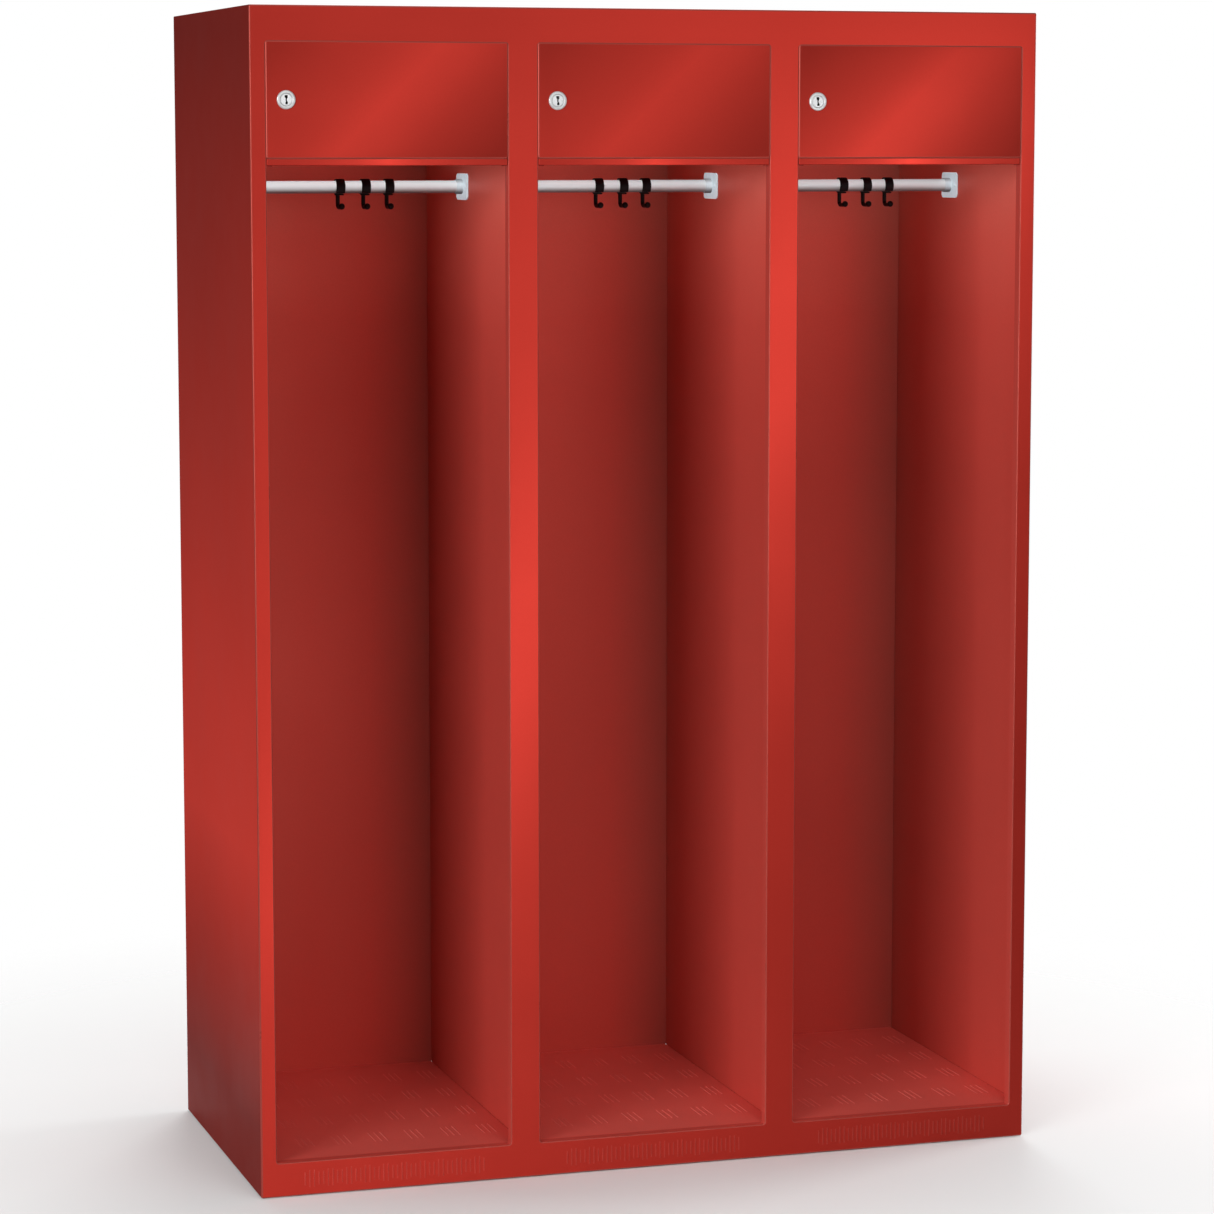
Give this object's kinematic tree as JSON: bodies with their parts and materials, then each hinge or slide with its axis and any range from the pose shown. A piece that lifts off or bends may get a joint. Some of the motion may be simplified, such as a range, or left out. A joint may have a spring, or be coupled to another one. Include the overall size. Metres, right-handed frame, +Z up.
{
  "type": "cloakroom locker",
  "caption": "Open-front sheet-steel cloakroom locker: bays with clothes rails and sliding hooks under small lockable compartments, slotted floors and a vented plinth.",
  "frame": {"origin": "on the floor, under the middle of the outer box, which runs from the lock rosettes to the back panel", "axes": "+X to the right seen from the front, the doors face -Y, +Z up"},
  "size_m": [1.2, 0.55, 1.72],
  "materials": {
    "red_frame": "satin powder coat",
    "red_door": "satin powder coat",
    "red_inside": "satin powder coat",
    "rail_steel": "bright zinc-plated tube, drawn lengthways",
    "bracket_zinc": "pale passivated zinc",
    "hook_plastic": "moulded black",
    "lock_nickel": "satin nickel plate",
    "core_nickel": "turned bright nickel",
    "plain_steel": "zinc-plated steel",
    "glide": "moulded black"
  },
  "bodies": {
    "cabinet": {"left_side_panel": "red_frame", "right_side_panel": "red_frame", "left_partition": "red_inside", "right_partition": "red_inside", "roof_panel": "red_frame", "back_panel": "red_inside", "header_rail": "red_frame", "plinth_rail": "red_frame", "rear_base_rail": "red_inside", "left_end_stile": "red_frame", "right_end_stile": "red_frame", "left_middle_stile": "red_frame", "right_middle_stile": "red_frame", "front_left_glide": "glide", "rear_left_glide": "glide", "front_right_glide": "glide", "rear_right_glide": "glide", "left_shelf": "red_inside", "left_floor": "red_inside", "left_lower_hinge_pin": "plain_steel", "left_upper_hinge_pin": "plain_steel", "left_clothes_rail": "rail_steel", "left_rail_bracket_left": "bracket_zinc", "left_rail_bracket_right": "bracket_zinc", "middle_shelf": "red_inside", "middle_floor": "red_inside", "middle_lower_hinge_pin": "plain_steel", "middle_upper_hinge_pin": "plain_steel", "middle_clothes_rail": "rail_steel", "middle_rail_bracket_left": "bracket_zinc", "middle_rail_bracket_right": "bracket_zinc", "right_shelf": "red_inside", "right_floor": "red_inside", "right_lower_hinge_pin": "plain_steel", "right_upper_hinge_pin": "plain_steel", "right_clothes_rail": "rail_steel", "right_rail_bracket_left": "bracket_zinc", "right_rail_bracket_right": "bracket_zinc"},
    "left_door": {"left_door": "red_door", "left_lock_housing": "lock_nickel"},
    "left_lock": {"left_lock_core": "core_nickel", "left_lock_cam": "plain_steel"},
    "left_hook_1": {"left_hook_1": "hook_plastic"},
    "left_hook_2": {"left_hook_2": "hook_plastic"},
    "left_hook_3": {"left_hook_3": "hook_plastic"},
    "middle_door": {"middle_door": "red_door", "middle_lock_housing": "lock_nickel"},
    "middle_lock": {"middle_lock_core": "core_nickel", "middle_lock_cam": "plain_steel"},
    "middle_hook_1": {"middle_hook_1": "hook_plastic"},
    "middle_hook_2": {"middle_hook_2": "hook_plastic"},
    "middle_hook_3": {"middle_hook_3": "hook_plastic"},
    "right_door": {"right_door": "red_door", "right_lock_housing": "lock_nickel"},
    "right_lock": {"right_lock_core": "core_nickel", "right_lock_cam": "plain_steel"},
    "right_hook_1": {"right_hook_1": "hook_plastic"},
    "right_hook_2": {"right_hook_2": "hook_plastic"},
    "right_hook_3": {"right_hook_3": "hook_plastic"}
  },
  "joints": [
    {"name": "left_door_hinge", "type": "hinge", "parent": "cabinet", "child": "left_door", "pos_m": [-0.23183, -0.267, 1.5875], "axis": [0, 0, 1], "range_deg": [0, 110]},
    {"name": "left_lock_turn", "type": "hinge", "parent": "left_door", "child": "left_lock", "pos_m": [-0.548, -0.275, 1.5875], "axis": [0, 1, 0], "range_deg": [0, 90]},
    {"name": "left_hook_1_slide", "type": "slide", "parent": "cabinet", "child": "left_hook_1", "axis": [1, 0, 0], "range_m": [-0.1845, 0.0245]},
    {"name": "left_hook_2_slide", "type": "slide", "parent": "cabinet", "child": "left_hook_2", "axis": [1, 0, 0], "range_m": [-0.0245, 0.0215]},
    {"name": "left_hook_3_slide", "type": "slide", "parent": "cabinet", "child": "left_hook_3", "axis": [1, 0, 0], "range_m": [-0.0215, 0.0965]},
    {"name": "middle_door_hinge", "type": "hinge", "parent": "cabinet", "child": "middle_door", "pos_m": [0.16783, -0.267, 1.5875], "axis": [0, 0, 1], "range_deg": [0, 110]},
    {"name": "middle_lock_turn", "type": "hinge", "parent": "middle_door", "child": "middle_lock", "pos_m": [-0.14833, -0.275, 1.5875], "axis": [0, 1, 0], "range_deg": [0, 90]},
    {"name": "middle_hook_1_slide", "type": "slide", "parent": "cabinet", "child": "middle_hook_1", "axis": [1, 0, 0], "range_m": [-0.1925, 0.0245]},
    {"name": "middle_hook_2_slide", "type": "slide", "parent": "cabinet", "child": "middle_hook_2", "axis": [1, 0, 0], "range_m": [-0.0245, 0.0215]},
    {"name": "middle_hook_3_slide", "type": "slide", "parent": "cabinet", "child": "middle_hook_3", "axis": [1, 0, 0], "range_m": [-0.0215, 0.0885]},
    {"name": "right_door_hinge", "type": "hinge", "parent": "cabinet", "child": "right_door", "pos_m": [0.5675, -0.267, 1.5875], "axis": [0, 0, 1], "range_deg": [0, 110]},
    {"name": "right_lock_turn", "type": "hinge", "parent": "right_door", "child": "right_lock", "pos_m": [0.25133, -0.275, 1.5875], "axis": [0, 1, 0], "range_deg": [0, 90]},
    {"name": "right_hook_1_slide", "type": "slide", "parent": "cabinet", "child": "right_hook_1", "axis": [1, 0, 0], "range_m": [-0.194, 0.0245]},
    {"name": "right_hook_2_slide", "type": "slide", "parent": "cabinet", "child": "right_hook_2", "axis": [1, 0, 0], "range_m": [-0.0245, 0.0215]},
    {"name": "right_hook_3_slide", "type": "slide", "parent": "cabinet", "child": "right_hook_3", "axis": [1, 0, 0], "range_m": [-0.0215, 0.087]}
  ]
}
